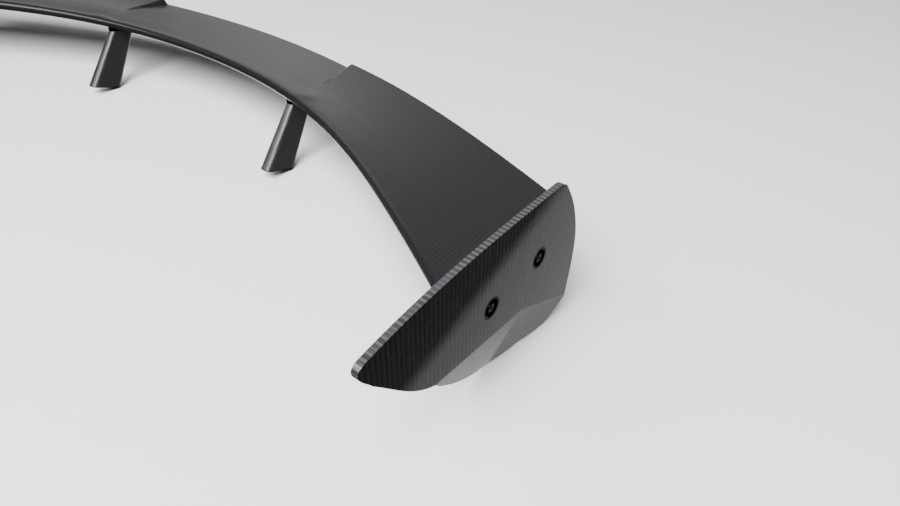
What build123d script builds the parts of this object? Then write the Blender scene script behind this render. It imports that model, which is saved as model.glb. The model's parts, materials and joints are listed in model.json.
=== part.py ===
"""Racing rear wing: a swept carbon blade on two raked stalks, with a bolted end plate at each tip.

Millimetres.  +X points to the car's left, +Y to the rear, +Z up.
The origin is the middle of the four threaded holes in the two stalk feet, a little above their openings.
"""
import os
from math import cos, radians, sin, sqrt, tan

from build123d import *

os.makedirs("parts", exist_ok=True)

# ---- driving dimensions ----
half_span = 625.0          # outer face of an end plate
plate_thickness = 6.0
end_gap = 0.1              # between the blade's end and the plate
skin = 1.5                 # carbon laminate of the blade
bond = 0.05                # glue line
fill_gap = 0.12            # glue line round the core and the tip ribs
tail_half = 1.5            # half the thickness of the trailing edge
nose_radius = 6.0
step_inner = 198.0         # the outer sections start their raised tail here
step_outer = 206.0
stalk_x = 197.0

# stalks
foot_centre_y = -2.0
foot_level = -6.0          # height of the middle of a foot
foot_slope = 18.0          # the feet follow a deck that falls towards the rear
foot_length = 46.0
foot_width = 18.0
head_centre_y = 50.0
head_z = 70.0
head_length = 38.0
head_width = 13.5
stalk_wall = 1.6
hole_spacing_y = 22.0
insert_radius = 4.0
insert_bore = 2.5
insert_top = 3.0
gasket_thickness = 1.2

# saddles between the stalks and the blade, and the studs through them
saddle_top = 77.0
saddle_edge = 0.6          # how far a saddle stands out round the stalk
stud_places_y = (44.0, 56.0)
stud_radius = 2.5
stud_bottom = 58.5

# end plate fixings, as (y, z) on the plate
fixing_places = ((-145.4, 96.1), (-76.4, 102.3))
cup_radius = 10.1
cup_depth = 4.4
screw_radius = 2.5
screw_head_radius = 4.75
screw_head_height = 2.7
screw_length = 13.0
rib_depth = 12.0

# end plate outline and its two creases, as (y, z)
crease_front = (-216.0, 70.5)
crease_turn = (-97.0, 59.0)
crease_back = (-18.5, 20.0)
facet_tilt = 17.0
crease_radius = 7.0

plate_inner = half_span - plate_thickness
blade_end = plate_inner - end_gap


# ---- blade shape ----
def nose_place(x):
    """Foremost point of the blade at this station."""
    t = (x / half_span) ** 2
    y = 51.2 - 223 * t - 177 * t**2 + 283 * t**3 - 124 * t**4
    z = 78.3 + 31 * t - 13 * t**2
    return y, z


def tail_place(x, raised):
    """Middle of the trailing edge; the outer sections carry a raised tail."""
    z_nose = nose_place(x)[1]
    if raised:
        d = (abs(x) - 200) / 420
        y = 137.5 - 80 * d - 108 * d**2 + 36.5 * d**3
        z = z_nose - 4.3 + 12 + 10 * d - tail_half
    else:
        y = 157 - 21 * (x / 200) ** 2
        z = z_nose - 4.3 + 5 - tail_half
    return y, z


def kick(x, raised):
    """How much of the tail's height is a late upward turn."""
    if not raised:
        return 0
    return 7 - 4 * (abs(x) - 200) / 420


def half_depth(distance, chord, deepest, radius, tail):
    """Half the section's thickness at a distance behind the nose."""
    front = 0.35 * chord
    if distance < front:
        power = 2 * front * radius / deepest**2
        return deepest * sqrt(1 - (1 - distance / front) ** power)
    back = (distance - front) / (chord - front)
    return deepest - (deepest - tail) * back**1.6


def mean_line(x, raised, distance):
    """Height of the section's middle line, hollow on top as on an upside-down aerofoil."""
    y0, z0 = nose_place(x)
    y1, z1 = tail_place(x, raised)
    s = distance / (y1 - y0)
    turn = kick(x, raised)
    hollow = 3 + 2 * (x / half_span) ** 2
    z = z0 + (z1 - turn - z0) * s - 4 * hollow * s * (1 - s)
    if s > 0.4:
        z += turn * ((s - 0.4) / 0.6) ** 1.4
    return z


def surface(x, raised, side, inset, ends_at=1.0):
    """Points of one surface in (y, z), from nose to tail. inset 0 is the outside."""
    y0 = nose_place(x)[0]
    chord = tail_place(x, raised)[0] - y0
    deepest = 7 + 2 * (x / half_span) ** 2 - inset
    tail = tail_half - inset if inset < tail_half - 0.02 else 0.02
    inner_chord = chord - inset
    steps = [0, 0.2, 0.8, 1.8, 3.5, 6.5, 12]
    steps += [inner_chord * k for k in (0.2, 0.35, 0.5, 0.65, 0.8, 0.92, 1.0) if k <= ends_at]
    points = []
    for step in steps:
        depth = half_depth(step, inner_chord, deepest, nose_radius - inset, tail)
        place = step + inset
        points.append((y0 + place, mean_line(x, raised, place) + side * max(depth, 0.02)))
    return points


def skin_section(x, raised, side):
    """Cross-section of the upper (side 1) or lower (side -1) skin."""
    outside = surface(x, raised, side, 0)
    inside = surface(x, raised, side, skin)
    with BuildSketch(Plane.YZ.offset(x)) as section:
        with BuildLine():
            Spline(*outside)
            Spline(*inside)
            Line(outside[0], inside[0])
            Line(outside[-1], inside[-1])
        make_face()
    return section.sketch


def cavity_section(x, raised, inset, ends_at):
    """Cross-section of what fills the blade between its skins."""
    top = surface(x, raised, 1, inset, ends_at)
    bottom = surface(x, raised, -1, inset, ends_at)
    nose = (top[0][0], (top[0][1] + bottom[0][1]) / 2)
    top[0] = nose
    bottom[0] = nose
    with BuildSketch(Plane.YZ.offset(x)) as section:
        with BuildLine():
            Spline(*top)
            Spline(*bottom)
            Line(top[-1], bottom[-1])
        make_face()
    return section.sketch


centre_stations = [-step_inner, -150, -100, -50, 0, 50, 100, 150, step_inner]
outer_stations = [step_outer, 240, 290, 340, 390, 440, 490, 535, 580]


def blade_sections(section, last):
    """The sections of each length: centre, then the short step and the outer length of each hand."""
    lengths = [[section(x, False) for x in centre_stations]]
    for hand in (1, -1):
        step = [section(hand * step_inner, False), section(hand * step_outer, True)]
        outer = [section(hand * x, True) for x in outer_stations + [last]]
        lengths += [step, outer]
    return lengths


def upper_section(x, raised):
    return skin_section(x, raised, 1)


def lower_section(x, raised):
    return skin_section(x, raised, -1)


def core_section(x, raised):
    return cavity_section(x, raised, skin + fill_gap, 0.8)


# ---- stalks ----
def foot_plane(x, below=0):
    """Plane of a foot, which slopes down to the rear. below moves it out along its own normal."""
    lean = radians(foot_slope)
    y = foot_centre_y - below * sin(lean)
    z = foot_level - below * cos(lean)
    return Plane(origin=(x, y, z), x_dir=(1, 0, 0), z_dir=(0, sin(lean), cos(lean)))


def stalk_section(plane, width, length):
    """Long rounded section, with its length along the car."""
    with BuildSketch(plane) as section:
        RectangleRounded(width, length, width * 0.42)
    return section.sketch


def stalk_sections(hand, inset):
    foot = stalk_section(foot_plane(hand * stalk_x), foot_width - 2 * inset, foot_length - 2 * inset)
    head_plane = Plane(origin=(hand * stalk_x, head_centre_y, head_z))
    head = stalk_section(head_plane, head_width - 2 * inset, head_length - 2 * inset)
    return [foot, head]


def outline_section(x, raised):
    """The whole blade section with a glue line round it, used to cut what fits against it."""
    top = surface(x, raised, 1, -bond)
    bottom = surface(x, raised, -1, -bond)
    nose = (top[0][0], (top[0][1] + bottom[0][1]) / 2)
    top[0] = nose
    bottom[0] = nose
    with BuildSketch(Plane.YZ.offset(x)) as section:
        with BuildLine():
            Spline(*top)
            Spline(*bottom)
            Line(top[-1], bottom[-1])
        make_face()
    return section.sketch


def stud_places(hand):
    return [(hand * stalk_x, y) for y in stud_places_y]


# ---- blade skins, core and what is set in them ----
block_size = (46.0, 38.0, 7.4)
block_centre_y = 58.5
block_middle_z = 78.7
block_top = block_middle_z + block_size[2] / 2
block_bottom = block_middle_z - block_size[2] / 2

with BuildPart() as upper_skin:
    for sections in blade_sections(upper_section, blade_end):
        loft(sections, ruled=len(sections) == 2)

with BuildPart() as lower_skin:
    for sections in blade_sections(lower_section, blade_end):
        loft(sections, ruled=len(sections) == 2)
    with BuildSketch(Plane.XY.offset(block_bottom)):
        with Locations(*stud_places(1), *stud_places(-1)):
            Circle(stud_radius + 0.2)
    extrude(amount=-20, mode=Mode.SUBTRACT)

with BuildPart() as core:
    for sections in blade_sections(core_section, blade_end - rib_depth - bond):
        loft(sections, ruled=len(sections) == 2)
    with Locations((stalk_x, block_centre_y, block_middle_z), (-stalk_x, block_centre_y, block_middle_z)):
        Box(block_size[0] + 2 * bond, block_size[1] + 2 * bond, block_size[2] + 2 * bond, mode=Mode.SUBTRACT)
    with BuildSketch(Plane.XY.offset(block_bottom)):
        with Locations(*stud_places(1), *stud_places(-1)):
            Circle(stud_radius + 0.2)
    extrude(amount=-20, mode=Mode.SUBTRACT)

upper_skin.part.label = "upper_skin"
export_step(upper_skin.part, "parts/upper_skin.step")
lower_skin.part.label = "lower_skin"
export_step(lower_skin.part, "parts/lower_skin.step")
core.part.label = "core"
export_step(core.part, "parts/core.step")


# ---- end plate ----
def tilted_plane(face_x, first, second):
    """Plane through a crease on the face at face_x that leans inboard below it."""
    along = Vector(0, second[0] - first[0], second[1] - first[1]).normalized()
    down = Vector(0, along.Z, -along.Y)
    lean = radians(facet_tilt)
    fall = down * cos(lean) + Vector(-1, 0, 0) * sin(lean)
    outward = along.cross(fall)
    if outward.X < 0:
        outward = outward * -1
    return Plane(origin=(face_x, first[0], first[1]), x_dir=along, z_dir=outward)


def plate_outline(outer_x):
    """The plate's outline, on a plane 70 mm inboard of its outer face."""
    with BuildSketch(Plane.YZ.offset(outer_x - 70)) as outline:
        with BuildLine():
            Spline((-285, 151.2), (-258, 155.5), (-212, 160), (-140, 162), (-90, 161.5), (-52, 161))
            Spline((-52, 161), (-44.5, 158.5), (-38.5, 152))
            Spline((-38.5, 152), (-28.5, 136), (-18.2, 113), (-12.3, 86), (-12.8, 56), crease_back)
            Spline(crease_back, (-24.5, 4), (-33, -10.5), (-50, -12.5), (-83, -9.5))
            Spline((-83, -9.5), (-112, -6), (-138, 3.5), (-166, 21), (-190, 42), (-205, 56.5))
            Line((-205, 56.5), crease_front)
            Spline(crease_front, (-233, 80.3), (-260, 106), (-279, 126.5))
            Spline((-279, 126.5), (-287, 137), (-290.5, 145.5), (-285, 151.2))
        make_face()
    return outline.sketch


def plate_block(outer_x):
    """Solid with the plate's outline and its creased outer face: the two lower facets meet in a valley."""
    with BuildPart() as front_part:
        extrude(plate_outline(outer_x), amount=70)
        split(bisect_by=tilted_plane(outer_x, crease_front, crease_turn), keep=Keep.BOTTOM)
    with BuildPart() as block:
        extrude(plate_outline(outer_x), amount=70)
        split(bisect_by=tilted_plane(outer_x, crease_turn, crease_back), keep=Keep.BOTTOM)
        add(front_part.part)
        creases = block.edges().filter_by(GeomType.LINE).filter_by(
            lambda e: min(v.X for v in e.vertices()) > outer_x - 0.01)
        fillet(creases, crease_radius)
    return block.part


def fixing_plane(outer_x):
    """Plane on a plate's outer face, with its own x to the rear and y up."""
    return Plane(origin=(outer_x, 0, 0), x_dir=(0, 1, 0), z_dir=(1, 0, 0))


with BuildPart() as end_plate_left:
    add(plate_block(half_span))
    add(plate_block(half_span - plate_thickness), mode=Mode.SUBTRACT)
    with BuildSketch(fixing_plane(half_span)):
        with Locations(*fixing_places):
            Circle(cup_radius + 0.05)
    extrude(amount=-cup_depth, mode=Mode.SUBTRACT)
    with BuildSketch(fixing_plane(half_span)):
        with Locations(*fixing_places):
            Circle(screw_radius + 0.25)
    extrude(amount=-20, mode=Mode.SUBTRACT)

with BuildPart() as end_plate_cups_left:
    with BuildSketch(fixing_plane(half_span - cup_depth)):
        with Locations(*fixing_places):
            Circle(cup_radius)
    extrude(amount=cup_depth)
    with BuildSketch(fixing_plane(half_span)):
        with Locations(*fixing_places):
            Circle(cup_radius - 3.2)
    extrude(amount=1.4 - cup_depth, mode=Mode.SUBTRACT)
    with BuildSketch(fixing_plane(half_span)):
        with Locations(*fixing_places):
            Circle(screw_radius + 0.25)
    extrude(amount=-20, mode=Mode.SUBTRACT)
    chamfer(end_plate_cups_left.edges().filter_by(GeomType.CIRCLE).filter_by(
        lambda e: abs(e.radius - (cup_radius - 3.2)) < 0.01 and e.center().X > half_span - 0.1), 1.6)

head_seat = half_span - cup_depth + 1.4

with BuildPart() as end_plate_screws_left:
    with BuildSketch(fixing_plane(head_seat)):
        with Locations(*fixing_places):
            Circle(screw_radius)
    extrude(amount=-screw_length)
    with BuildSketch(fixing_plane(head_seat)):
        with Locations(*fixing_places):
            Circle(screw_head_radius)
    extrude(amount=screw_head_height)
    tops = end_plate_screws_left.edges().filter_by(GeomType.CIRCLE).filter_by(
        lambda e: e.center().X > head_seat + screw_head_height - 0.1)
    fillet(tops, 1.6)
    with BuildSketch(fixing_plane(head_seat + screw_head_height)):
        with Locations(*fixing_places):
            RegularPolygon(1.73, 6)
    extrude(amount=-1.9, mode=Mode.SUBTRACT)

with BuildPart() as tip_rib_left:
    start = blade_end - rib_depth
    stations = [cavity_section(x, True, skin + fill_gap, 0.8) for x in (start, start + 7, blade_end)]
    loft(stations)
    with BuildSketch(fixing_plane(blade_end + 1)):
        with Locations(*fixing_places):
            Circle(screw_radius + 0.03)
    extrude(amount=-(rib_depth + 2), mode=Mode.SUBTRACT)

# ---- left stalk and what joins it to the blade ----
with BuildPart() as stalk_shell_left:
    loft(stalk_sections(1, 0))
    loft(stalk_sections(1, stalk_wall), mode=Mode.SUBTRACT)

insert_places = ((stalk_x, -hole_spacing_y / 2), (stalk_x, hole_spacing_y / 2))

with BuildPart() as stalk_spine_left:
    loft(stalk_sections(1, stalk_wall + bond))
    with BuildSketch(Plane.XY.offset(-30)):
        with Locations(*insert_places):
            Circle(insert_radius + bond)
    extrude(amount=30 + insert_top + bond, mode=Mode.SUBTRACT)
    with BuildSketch(Plane.XY.offset(stud_bottom - 0.1)):
        with Locations(*stud_places(1)):
            Circle(stud_radius + 0.03)
    extrude(amount=40, mode=Mode.SUBTRACT)

with BuildPart() as foot_inserts_left:
    with BuildSketch(Plane.XY.offset(-30)):
        with Locations(*insert_places):
            Circle(insert_radius)
            Circle(insert_bore, mode=Mode.SUBTRACT)
    extrude(amount=30 + insert_top)
    split(bisect_by=foot_plane(stalk_x, -0.02), keep=Keep.TOP)

with BuildPart() as foot_gasket_left:
    add(stalk_section(foot_plane(stalk_x, gasket_thickness), foot_width + 0.6, foot_length + 0.6))
    extrude(amount=gasket_thickness - 0.02)
    with BuildSketch(Plane.XY.offset(-30)):
        with Locations(*insert_places):
            Circle(insert_bore + 0.8)
    extrude(amount=50, mode=Mode.SUBTRACT)

with BuildPart() as head_saddle_left:
    saddle_plane = Plane(origin=(stalk_x, head_centre_y, head_z + 0.02))
    extrude(stalk_section(saddle_plane, head_width + 2 * saddle_edge, head_length + 2 * saddle_edge),
            amount=saddle_top - head_z)
    around = [outline_section(x, False) for x in (150, 165, 180, step_inner)]
    loft(around, mode=Mode.SUBTRACT)
    step = [outline_section(step_inner, False), outline_section(step_outer, True)]
    loft(step, mode=Mode.SUBTRACT, ruled=True)
    beyond = [outline_section(x, True) for x in (step_outer, 212, 228, 240)]
    loft(beyond, mode=Mode.SUBTRACT)
    with BuildSketch(Plane.XY.offset(head_z - 1)):
        with Locations(*stud_places(1)):
            Circle(stud_radius + 0.1)
    extrude(amount=20, mode=Mode.SUBTRACT)

with BuildPart() as head_studs_left:
    with BuildSketch(Plane.XY.offset(stud_bottom)):
        with Locations(*stud_places(1)):
            Circle(stud_radius)
    extrude(amount=block_top - 1.5 - stud_bottom)
    chamfer(head_studs_left.edges().filter_by(GeomType.CIRCLE), 0.4)

with BuildPart() as stalk_block_left:
    with Locations((stalk_x, block_centre_y, block_middle_z)):
        Box(*block_size)
    fillet(stalk_block_left.edges().filter_by(Axis.Z), 4)
    with BuildSketch(Plane.XY.offset(block_bottom - 1)):
        with Locations(*stud_places(1)):
            Circle(stud_radius + 0.03)
    extrude(amount=20, mode=Mode.SUBTRACT)

# ---- both hands ----
left_hand = {
    "end_plate": end_plate_left.part,
    "end_plate_cups": end_plate_cups_left.part,
    "end_plate_screws": end_plate_screws_left.part,
    "tip_rib": tip_rib_left.part,
    "stalk_shell": stalk_shell_left.part,
    "stalk_spine": stalk_spine_left.part,
    "foot_inserts": foot_inserts_left.part,
    "foot_gasket": foot_gasket_left.part,
    "head_saddle": head_saddle_left.part,
    "head_studs": head_studs_left.part,
    "stalk_block": stalk_block_left.part,
}
for name, left in left_hand.items():
    right = mirror(left, about=Plane.YZ, mode=Mode.PRIVATE)
    for hand, solid in (("left", left), ("right", right)):
        solid.label = name + "_" + hand
        export_step(solid, "parts/" + solid.label + ".step")
    print(name, round(left.volume), len(left.solids()))
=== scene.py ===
"""Racing rear wing: swept carbon blade on two raked stalks, with a creased end plate bolted to each tip."""
import json
from math import cos, exp, pi, radians, sqrt

import bpy
from mathutils import Matrix, Vector

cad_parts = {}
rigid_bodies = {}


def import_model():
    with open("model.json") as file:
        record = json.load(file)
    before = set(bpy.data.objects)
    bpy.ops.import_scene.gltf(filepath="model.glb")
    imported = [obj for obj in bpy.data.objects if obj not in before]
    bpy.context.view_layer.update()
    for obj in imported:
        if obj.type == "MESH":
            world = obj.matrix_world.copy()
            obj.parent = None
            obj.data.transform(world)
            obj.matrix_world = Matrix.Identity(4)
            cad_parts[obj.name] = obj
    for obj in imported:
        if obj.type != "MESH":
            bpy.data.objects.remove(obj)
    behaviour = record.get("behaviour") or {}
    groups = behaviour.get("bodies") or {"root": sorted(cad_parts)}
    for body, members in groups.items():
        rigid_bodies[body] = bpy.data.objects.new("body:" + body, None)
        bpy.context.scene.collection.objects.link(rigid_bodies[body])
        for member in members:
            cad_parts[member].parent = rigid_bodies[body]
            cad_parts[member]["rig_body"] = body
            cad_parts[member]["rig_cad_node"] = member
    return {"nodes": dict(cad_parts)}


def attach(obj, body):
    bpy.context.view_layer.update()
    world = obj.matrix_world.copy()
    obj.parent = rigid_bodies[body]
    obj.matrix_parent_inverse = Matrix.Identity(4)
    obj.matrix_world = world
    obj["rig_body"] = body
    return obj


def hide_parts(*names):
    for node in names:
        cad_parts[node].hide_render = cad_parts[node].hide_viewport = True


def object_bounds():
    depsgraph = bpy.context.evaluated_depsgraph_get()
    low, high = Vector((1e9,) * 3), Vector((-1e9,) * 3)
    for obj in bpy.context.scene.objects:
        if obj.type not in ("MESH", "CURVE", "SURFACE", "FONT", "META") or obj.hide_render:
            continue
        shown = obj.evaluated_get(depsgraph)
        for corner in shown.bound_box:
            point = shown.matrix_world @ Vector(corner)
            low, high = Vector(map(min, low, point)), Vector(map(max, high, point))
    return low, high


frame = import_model()
cad_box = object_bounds()
nodes = frame["nodes"]
MM = 0.001

# ---- sizes of the wing, in millimetres ----
HALF_SPAN = 625.0
PLATE_THICKNESS = 6.0
BLADE_END = HALF_SPAN - PLATE_THICKNESS - 0.1
TAIL_HALF = 1.5            # half the thickness of the blade's trailing edge
STRAND = 1.7               # width of one woven strand of the laminate

# the raised tail outboard of each stalk: where it starts, how far that line curves outboard going forward,
# over what distance, and the width of its ramp
STEP_X = 202
STEP_CURVE = 11.5
STEP_REACH = 55
STEP_WIDTH = 10

# a low swelling in the top of the blade, outboard of each stalk's head
SWELL_X, SWELL_Y = 222, 36
SWELL_HALF_X, SWELL_HALF_Y = 20, 11
SWELL_HEIGHT = 1.0

RIM_RADIUS = 1.6
RIM_SEGMENTS = 3
SHARP_ANGLE = radians(50)   # edges of the end plates sharper than this are rounded
SMOOTH_ANGLE = radians(40)


# ---- materials ----
def srgb(hex_colour):
    """Linear RGBA of an sRGB hex value."""
    channels = [int(hex_colour[k:k + 2], 16) / 255 for k in (0, 2, 4)]
    return [c / 12.92 if c <= 0.04045 else ((c + 0.055) / 1.055) ** 2.4 for c in channels] + [1.0]


def node(tree, kind, inputs=(), **settings):
    """Adds one node; inputs are (its input, a value or another node's output), settings are its properties."""
    n = tree.nodes.new(kind)
    for key, value in settings.items():
        setattr(n, key, value)
    for socket, value in inputs:
        if isinstance(value, bpy.types.NodeSocket):
            tree.links.new(value, n.inputs[socket])
        else:
            n.inputs[socket].default_value = value
    return n


def new_material(name):
    material = bpy.data.materials.new(name)
    material.use_nodes = True
    tree = material.node_tree
    tree.nodes.clear()
    return material, tree


def twill(tree, across, along, strand):
    """2x2 twill from two coordinates in metres: (1 where a warp strand is on top, crown of the strand on top)."""
    maths = "ShaderNodeMath"
    u = node(tree, maths, [(0, across), (1, strand * MM)], operation="DIVIDE").outputs[0]
    v = node(tree, maths, [(0, along), (1, strand * MM)], operation="DIVIDE").outputs[0]
    column = node(tree, maths, [(0, u)], operation="FLOOR").outputs[0]
    row = node(tree, maths, [(0, v)], operation="FLOOR").outputs[0]
    both = node(tree, maths, [(0, column), (1, row)], operation="ADD").outputs[0]
    step = node(tree, maths, [(0, both), (1, 4.0)], operation="FLOORED_MODULO").outputs[0]
    warp = node(tree, maths, [(0, step), (1, 1.5)], operation="LESS_THAN").outputs[0]
    # a strand is round across its width, and each float lies over two strands and dips at both of its ends
    crowns = []
    for own, other, offset in ((u, v, column), (v, u, row)):
        within = node(tree, maths, [(0, own)], operation="FRACT").outputs[0]
        arc = node(tree, maths, [(0, within), (1, pi)], operation="MULTIPLY").outputs[0]
        round_top = node(tree, maths, [(0, arc)], operation="SINE").outputs[0]
        run = node(tree, maths, [(0, other), (1, offset)], operation="ADD").outputs[0]
        start = node(tree, maths, [(0, run), (1, 0.0 if own is u else 2.0)], operation="ADD").outputs[0]
        place = node(tree, maths, [(0, start), (1, 4.0)], operation="FLOORED_MODULO").outputs[0]
        turn = node(tree, maths, [(0, place), (1, pi / 2)], operation="MULTIPLY").outputs[0]
        dip = node(tree, maths, [(0, turn)], operation="SINE").outputs[0]
        float_top = node(tree, maths, [(0, dip), (1, 0.0)], operation="MAXIMUM").outputs[0]
        crowns.append(node(tree, maths, [(0, round_top), (1, float_top)], operation="MULTIPLY").outputs[0])
    crown = node(tree, "ShaderNodeMix", [("Factor", warp), (2, crowns[1]), (3, crowns[0])]).outputs[0]
    return warp, crown


def carbon(name, uv, dark, light, roughness, coat_roughness, turn, fibre_gloss, weave, lacquer_wave):
    """Woven carbon laminate under clear resin, with a painted sheen: dark is the fibre's own colour and light the
    colour of the painted sheen. uv True reads the piece's own map, in metres; turn lays the cloth.
    """
    material, tree = new_material(name)
    place = node(tree, "ShaderNodeTexCoord")
    mapping = node(tree, "ShaderNodeMapping",
                   [("Vector", place.outputs["UV" if uv else "Object"]), ("Rotation", turn)])
    split = node(tree, "ShaderNodeSeparateXYZ", [("Vector", mapping.outputs["Vector"])])
    warp, crown = twill(tree, split.outputs["X"], split.outputs["Y"], STRAND)
    cloud = node(tree, "ShaderNodeTexNoise", [("Vector", place.outputs["Object"]), ("Scale", 9.0), ("Detail", 3.0)])
    # the tone is lighter where a warp strand is on top and along each strand's crown, a painted sheen standing in
    # for the fibres' gloss, and it varies with a faint cloud in the resin
    sheen_and_cloud_tone = node(tree, "ShaderNodeMath", [(0, crown), (1, 0.4), (2, 0.12)], operation="MULTIPLY_ADD").outputs[0]
    sheen_and_cloud_tone = node(tree, "ShaderNodeMath", [(0, warp), (1, 0.45), (2, sheen_and_cloud_tone)], operation="MULTIPLY_ADD").outputs[0]
    sheen_and_cloud_tone = node(tree, "ShaderNodeMath", [(0, cloud.outputs["Fac"]), (1, 0.2), (2, sheen_and_cloud_tone)],
                operation="MULTIPLY_ADD").outputs[0]
    colour = node(tree, "ShaderNodeMix", [("Factor", sheen_and_cloud_tone), (6, srgb(dark)), (7, srgb(light))], data_type="RGBA")
    rough = node(tree, "ShaderNodeMath", [(0, warp), (1, -0.07), (2, roughness)], operation="MULTIPLY_ADD")
    bump = node(tree, "ShaderNodeBump", [("Height", crown), ("Strength", weave), ("Distance", 0.25 * MM)])
    # the lacquer is not quite flat: it follows the cloth in slow waves
    wave = node(tree, "ShaderNodeTexNoise", [("Vector", place.outputs["Object"]), ("Scale", 110.0), ("Detail", 1.0)])
    ripple = node(tree, "ShaderNodeBump",
                  [("Height", wave.outputs["Fac"]), ("Strength", 1.0), ("Distance", lacquer_wave * MM)])
    shader = node(tree, "ShaderNodeBsdfPrincipled",
                  [("Base Color", colour.outputs[2]), ("Roughness", rough.outputs[0]),
                   ("Normal", bump.outputs["Normal"]), ("Coat Normal", ripple.outputs["Normal"]),
                   ("IOR", 1.5), ("Specular IOR Level", fibre_gloss),
                   ("Coat Weight", 1.0), ("Coat Roughness", coat_roughness), ("Coat IOR", 1.5)])
    node(tree, "ShaderNodeOutputMaterial", [("Surface", shader.outputs["BSDF"])])
    return material


def plain(name, colour, metallic, roughness, grain_mm, depth_mm, vary=0.08):
    """One-colour finish with a fine grain: bead blasting, turning marks, moulded texture or oxide."""
    material, tree = new_material(name)
    place = node(tree, "ShaderNodeTexCoord")
    grain = node(tree, "ShaderNodeTexNoise",
                 [("Vector", place.outputs["Object"]), ("Scale", 1 / (grain_mm * MM)), ("Detail", 3.0)])
    wear = node(tree, "ShaderNodeTexNoise", [("Vector", place.outputs["Object"]), ("Scale", 60.0), ("Detail", 4.0)])
    rough = node(tree, "ShaderNodeMath", [(0, wear.outputs["Fac"]), (1, 2 * vary), (2, roughness - vary)],
                 operation="MULTIPLY_ADD")
    base = srgb(colour)
    tint = node(tree, "ShaderNodeMix",
                [("Factor", wear.outputs["Fac"]), (6, [c * 0.86 for c in base[:3]] + [1.0]),
                 (7, [min(1.0, c * 1.12) for c in base[:3]] + [1.0])], data_type="RGBA")
    bump = node(tree, "ShaderNodeBump",
                [("Height", grain.outputs["Fac"]), ("Strength", 0.4), ("Distance", depth_mm * MM)])
    shader = node(tree, "ShaderNodeBsdfPrincipled",
                  [("Base Color", tint.outputs[2]), ("Roughness", rough.outputs[0]),
                   ("Normal", bump.outputs["Normal"]), ("Metallic", metallic)])
    node(tree, "ShaderNodeOutputMaterial", [("Surface", shader.outputs["BSDF"])])
    return material


# 2x2 twill prepreg, rubbed-down satin lacquer on the blade: a soft grey sheen with the weave just showing
blade_carbon = carbon("satin lacquered twill carbon", uv=True, dark="08080a", light="1c1c1e",
                      roughness=0.4, coat_roughness=0.16, turn=(0, 0, radians(45)),
                      fibre_gloss=0.3, weave=0.5, lacquer_wave=0.02)
# the same cloth under a polished lacquer on the plates: deep black, sharp reflections, ribs of weave
plate_carbon = carbon("polished twill carbon plate", uv=False, dark="020203", light="141517",
                      roughness=0.4, coat_roughness=0.01, turn=(0, radians(-90), radians(-45)),
                      fibre_gloss=0.08, weave=0.4, lacquer_wave=0.012)
# on the rims of the plates the same cloth is coloured much lighter: a painted glint of its strands turning over the
# edge
rim_carbon_painted_glint = carbon("polished twill carbon rim with painted glint", uv=False, dark="030303", light="4c4d50",
                    roughness=0.32, coat_roughness=0.06, turn=(0, radians(-90), radians(-45)),
                    fibre_gloss=0.5, weave=0.6, lacquer_wave=0.01)
# the same cloth on the stalks, rubbed down more, so that its light edge is broad and soft
stalk_carbon = carbon("polished twill carbon stalk", uv=False, dark="040405", light="2c2d30",
                      roughness=0.42, coat_roughness=0.38, turn=(0, radians(-90), 0),
                      fibre_gloss=0.5, weave=0.9, lacquer_wave=0.02)
# machined aluminium inside the blade and stalks
spine_aluminium = plain("machined aluminium", "b7b9bc", metallic=1.0, roughness=0.3,
                        grain_mm=0.6, depth_mm=0.03)
# black anodised aluminium cups: near black with a dull rim
cup_anodised = plain("black anodised aluminium", "232326", metallic=1.0, roughness=0.26,
                        grain_mm=0.25, depth_mm=0.02)
# black oxide steel socket screws
screw_oxide = plain("black oxide steel", "2c2c30", metallic=1.0, roughness=0.24,
                        grain_mm=0.2, depth_mm=0.02)
# bright turned steel inserts
insert_steel = plain("turned steel", "a9abad", metallic=1.0, roughness=0.25,
                        grain_mm=0.4, depth_mm=0.02)
# moulded rubber gasket: flat black
gasket_rubber = plain("moulded rubber", "101011", metallic=0.0, roughness=0.7,
                        grain_mm=0.35, depth_mm=0.08)


def dress(obj, material):
    obj.data.materials.clear()
    obj.data.materials.append(material)


# ---- blade ----
def nose_place(x):
    """Place (y, z) of the leading edge at a station: it sweeps forward and rises towards the tips."""
    t = (x / HALF_SPAN) ** 2
    return 51.2 - 223 * t - 177 * t**2 + 283 * t**3 - 124 * t**4, 78.3 + 31 * t - 13 * t**2


def tail_place(x, raised):
    """Place (y, z) of the trailing edge at a station, on the raised tail or on the plain one."""
    z_nose = nose_place(x)[1]
    if raised:
        d = (abs(x) - 200) / 420
        y = 137.5 - 80 * d - 108 * d**2 + 36.5 * d**3
        return y, z_nose - 4.3 + 12 + 10 * d - TAIL_HALF
    return 157 - 21 * (x / 200) ** 2, z_nose - 4.3 + 5 - TAIL_HALF


def half_depth(distance, chord, deepest):
    """Half the section's thickness at a distance behind the nose."""
    front = 0.35 * chord
    if distance < front:
        power = 2 * front * 6.0 / deepest**2
        return deepest * sqrt(max(0.0, 1 - (1 - distance / front) ** power))
    return deepest - (deepest - TAIL_HALF) * ((distance - front) / (chord - front)) ** 1.6


def mean_line(x, raised, s):
    """Height of the section's middle at the chord fraction s: a hollow line, turned up at a raised tail."""
    z0 = nose_place(x)[1]
    z1 = tail_place(x, raised)[1]
    turn = 7 - 4 * (abs(x) - 200) / 420 if raised else 0
    hollow = 3 + 2 * (x / HALF_SPAN) ** 2
    z = z0 + (z1 - turn - z0) * s - 4 * hollow * s * (1 - s)
    if s > 0.4:
        z += turn * ((s - 0.4) / 0.6) ** 1.4
    return z


def step_line(forward):
    """Where the raised tail starts, by the distance forward of the trailing edge: it curves outboard."""
    k = min(1.0, forward / STEP_REACH)
    return STEP_X + STEP_CURVE * k * k * (3 - 2 * k)


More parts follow.
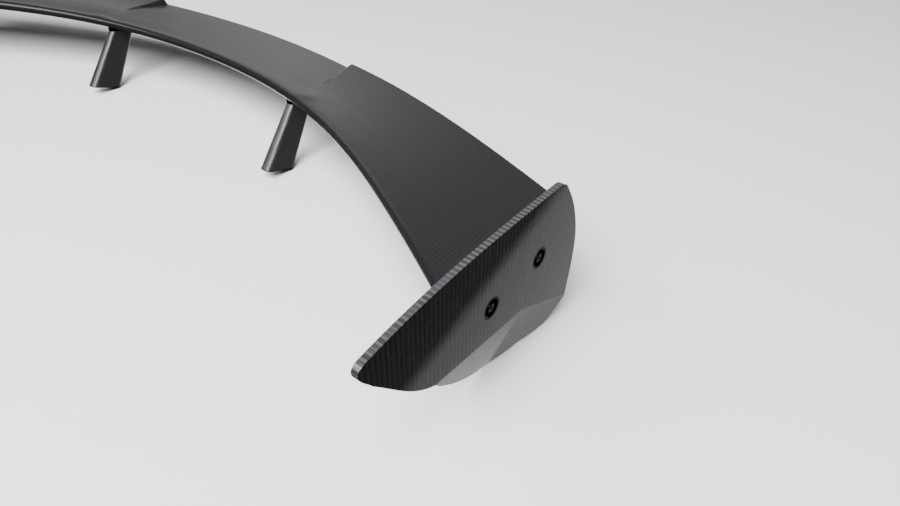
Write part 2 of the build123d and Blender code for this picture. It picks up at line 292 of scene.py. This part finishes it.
def blade_point(x, s, side):
    """Point of the blade's outside at the chord fraction s, on top (side 1) or below (side -1)."""
    y0 = nose_place(x)[0]
    ends = [tail_place(x, raised)[0] for raised in (False, True)]
    middle = ends[1] if abs(x) > STEP_X else ends[0]
    forward = (middle - y0) * (1 - s)
    k = min(1.0, max(0.0, (abs(x) - step_line(forward)) / STEP_WIDTH + 0.5))
    raised = k * k * (3 - 2 * k)
    y1 = ends[0] + (ends[1] - ends[0]) * raised
    chord = y1 - y0
    z = mean_line(x, False, s) * (1 - raised) + mean_line(x, True, s) * raised
    deepest = 7 + 2 * (x / HALF_SPAN) ** 2
    swell = 0.0
    if side > 0:
        off = Vector(((abs(x) - SWELL_X) / SWELL_HALF_X, (y0 + s * chord - SWELL_Y) / SWELL_HALF_Y)).length
        swell = SWELL_HEIGHT * exp(-off * off) * min(1.0, s * 9)
    return Vector((x, y0 + s * chord, z + side * half_depth(s * chord, chord, deepest) + swell)) * MM


def blade_mesh():
    """Sections lofted along the span, closed at both ends, with a map in metres along the span and the chord."""
    # stations along the span are close together where the tail steps up
    stations = [k * 6.0 for k in range(31)]
    stations += [186 + k * 0.5 for k in range(74)]
    outer = 68
    stations += [222.5 + (BLADE_END - 222.5) * (k + 1) / outer for k in range(outer)]
    stations = [-x for x in reversed(stations[1:])] + stations
    # chord fractions crowd at the nose and are finer over the back half, which the step crosses
    around = [(1 - cos(pi * k / 2 / 14)) * 0.25 for k in range(14)]
    around += [0.25 + 0.25 * k / 12 for k in range(12)]
    around += [0.5 + 0.5 * k / 56 for k in range(57)]
    profile = [(s, 1) for s in reversed(around)] + [(s, -1) for s in around[1:]]
    verts, grid = [], []
    for x in stations:
        row = []
        for s, side in profile:
            row.append(len(verts))
            verts.append(blade_point(x, s, side))
        grid.append(row)
    # distance along each section from its nose, for the map
    lengths = []
    for row in grid:
        run = [0.0]
        for a, b in zip(row, row[1:]):
            run.append(run[-1] + (verts[b] - verts[a]).length)
        nose = run[len(around) - 1]
        lengths.append([r - nose for r in run] + [run[-1] - nose + 0.003])
    faces, coords = [], []
    width = len(profile)
    for i in range(len(grid) - 1):
        for j in range(width):
            k = (j + 1) % width
            faces.append((grid[i][j], grid[i][k], grid[i + 1][k], grid[i + 1][j]))
            coords += [(stations[i] * MM, lengths[i][j]), (stations[i] * MM, lengths[i][j + 1]),
                       (stations[i + 1] * MM, lengths[i + 1][j + 1]), (stations[i + 1] * MM, lengths[i + 1][j])]
    for row, flip in ((grid[0], True), (grid[-1], False)):
        ring = list(reversed(row)) if flip else list(row)
        faces.append(ring)
        coords += [(verts[v].y, verts[v].z) for v in ring]
    mesh = bpy.data.meshes.new("blade")
    mesh.from_pydata([tuple(v) for v in verts], [], faces)
    layer = mesh.uv_layers.new(name="laminate")
    for loop, uv in zip(layer.data, coords):
        loop.uv = uv
    blade = bpy.data.objects.new("blade", mesh)
    bpy.context.scene.collection.objects.link(blade)
    return blade


def choose(obj):
    """Deselects everything and makes one object the active one."""
    bpy.ops.object.select_all(action="DESELECT")
    obj.select_set(True)
    bpy.context.view_layer.objects.active = obj


blade = blade_mesh()
choose(blade)
bpy.ops.object.mode_set(mode="EDIT")
bpy.ops.mesh.select_all(action="SELECT")
bpy.ops.mesh.normals_make_consistent(inside=False)
bpy.ops.object.mode_set(mode="OBJECT")
bpy.ops.object.shade_smooth_by_angle(angle=SMOOTH_ANGLE)
dress(blade, blade_carbon)
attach(blade, "root")
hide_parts("upper_skin", "lower_skin", "core")


# ---- carried-over pieces with rounded edges ----
def rounded_copy(name, material, rim):
    """A copy of a solid with its flat faces joined up, its sharp edges rounded and a lighter copy of its cloth on
    its rim, a painted glint.
    """
    source = nodes[name]
    copy = source.copy()
    copy.data = source.data.copy()
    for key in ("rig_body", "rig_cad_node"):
        if key in copy:
            del copy[key]
    copy.parent = None
    copy.name = name + "_rounded"
    bpy.context.scene.collection.objects.link(copy)
    choose(copy)
    bpy.ops.object.mode_set(mode="EDIT")
    bpy.ops.mesh.select_all(action="SELECT")
    bpy.ops.mesh.remove_doubles(threshold=0.00001)
    bpy.ops.mesh.dissolve_limited(angle_limit=radians(0.6))
    bpy.ops.object.mode_set(mode="OBJECT")
    bevel = copy.modifiers.new("rounding", "BEVEL")
    bevel.width = RIM_RADIUS * MM
    bevel.segments = RIM_SEGMENTS
    bevel.limit_method = "ANGLE"
    bevel.angle_limit = SHARP_ANGLE
    bpy.ops.object.modifier_apply(modifier=bevel.name)
    bpy.ops.object.shade_smooth_by_angle(angle=SMOOTH_ANGLE)
    level = copy.modifiers.new("flat faces", "WEIGHTED_NORMAL")
    level.mode = "FACE_AREA"
    level.weight = 100
    level.keep_sharp = True
    bpy.ops.object.modifier_apply(modifier=level.name)
    dress(copy, material)
    copy.data.materials.append(rim)
    # faces that do not face along the span, the rims, take the second material: the painted glint
    for face in copy.data.polygons:
        face.material_index = 1 if abs(face.normal.x) < 0.8 else 0
    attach(copy, "root")
    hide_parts(name)


for hand in ("left", "right"):
    rounded_copy("end_plate_" + hand, plate_carbon, rim_carbon_painted_glint)
    dress(nodes["stalk_shell_" + hand], stalk_carbon)
    dress(nodes["stalk_spine_" + hand], spine_aluminium)
    dress(nodes["foot_inserts_" + hand], insert_steel)
    dress(nodes["foot_gasket_" + hand], gasket_rubber)
    dress(nodes["head_saddle_" + hand], cup_anodised)
    dress(nodes["head_studs_" + hand], insert_steel)
    dress(nodes["stalk_block_" + hand], spine_aluminium)
    dress(nodes["end_plate_cups_" + hand], cup_anodised)
    dress(nodes["end_plate_screws_" + hand], screw_oxide)
    dress(nodes["tip_rib_" + hand], spine_aluminium)

# ---- floor, light and camera ----
bpy.ops.object.select_all(action="DESELECT")
bpy.ops.mesh.primitive_plane_add(size=12, location=(0, 0, cad_box[0][2] - 0.0005))
floor = bpy.context.object
floor.name = "floor"
pale, pale_tree = new_material("pale floor")
pale_shader = node(pale_tree, "ShaderNodeBsdfPrincipled", [("Base Color", srgb("f9f9f9")), ("Roughness", 0.9)])
node(pale_tree, "ShaderNodeOutputMaterial", [("Surface", pale_shader.outputs["BSDF"])])
dress(floor, pale)
# the gloss shows the room and not the floor
floor.visible_glossy = False

world = bpy.data.worlds.new("studio")
bpy.context.scene.world = world
world.use_nodes = True
# one side of the room is a pale wall that the gloss picks up, and the other is left dark;
# the edge between them is a plane through the wing
sky = world.node_tree
sky.nodes.clear()
way = node(sky, "ShaderNodeTexCoord")
side = node(sky, "ShaderNodeVectorMath", [(0, way.outputs["Generated"]), (1, (-0.893, 0.141, -0.428))],
            operation="DOT_PRODUCT")
spread = node(sky, "ShaderNodeMapRange", [("Value", side.outputs["Value"]), ("From Min", -1.0)])
fall = node(sky, "ShaderNodeValToRGB", [("Fac", spread.outputs["Result"])])
stops = ((0.0, 0.01), (0.4985, 0.01), (0.5015, 0.26), (0.56, 0.32), (0.60, 0.55), (0.64, 0.2),
         (0.69, 0.2), (0.75, 0.34), (0.80, 0.9), (0.85, 0.25), (0.895, 0.2), (0.95, 1.3))
while len(fall.color_ramp.elements) < len(stops):
    fall.color_ramp.elements.new(0.9)
for stop, (place, level) in zip(fall.color_ramp.elements, stops):
    stop.position = place
    stop.color = (level, level, level, 1)
# it is dark ahead of the wing, and lighter towards the floor
depth = node(sky, "ShaderNodeSeparateXYZ", [("Vector", way.outputs["Generated"])])
ahead_fall = node(sky, "ShaderNodeMapRange",
                  [("Value", depth.outputs["Y"]), ("From Min", 0.05), ("From Max", 0.3), ("To Min", 0.03)])
low_gain = node(sky, "ShaderNodeMapRange",
                [("Value", depth.outputs["Z"]), ("From Min", -0.4), ("From Max", 0.1),
                 ("To Min", 2.0), ("To Max", 1.0)])
strength = node(sky, "ShaderNodeMath", [(0, ahead_fall.outputs["Result"]), (1, low_gain.outputs["Result"])],
                operation="MULTIPLY")
glow = node(sky, "ShaderNodeBackground", [("Color", fall.outputs["Color"]), ("Strength", strength.outputs[0])])
node(sky, "ShaderNodeOutputWorld", [("Surface", glow.outputs["Background"])])


def softbox(name, place, target, width, height, power):
    data = bpy.data.lights.new(name, "AREA")
    data.shape = "RECTANGLE"
    data.size = width
    data.size_y = height
    data.energy = power
    lamp = bpy.data.objects.new(name, data)
    bpy.context.scene.collection.objects.link(lamp)
    place, target = Vector(place), Vector(target)
    lamp.location = place
    lamp.rotation_euler = (target - place).to_track_quat("-Z", "Y").to_euler()


softbox("top softbox", (0.9, -1.6, 2.4), (0, 0, 0), 1.8, 1.8, 250)
softbox("fill softbox", (-1.2, -1.8, 2.2), (0, 0, 0), 1.8, 1.8, 45)

camera_data = bpy.data.cameras.new("camera")
camera_data.sensor_width = 36
camera_data.lens = 28.0
camera_data.clip_start = 0.01
camera = bpy.data.objects.new("camera", camera_data)
bpy.context.scene.collection.objects.link(camera)
right = Vector((0.7943, 0.6075, 0.0071)).normalized()
ahead = Vector((-0.4737, 0.6265, -0.6190)).normalized()
up = right.cross(ahead).normalized()
right = ahead.cross(up)
turned = Matrix((right, up, -ahead)).transposed().to_4x4()
camera.matrix_world = Matrix.Translation((0.8399, -0.4838, 0.4649)) @ turned
bpy.context.scene.camera = camera

bpy.context.view_layer.update()
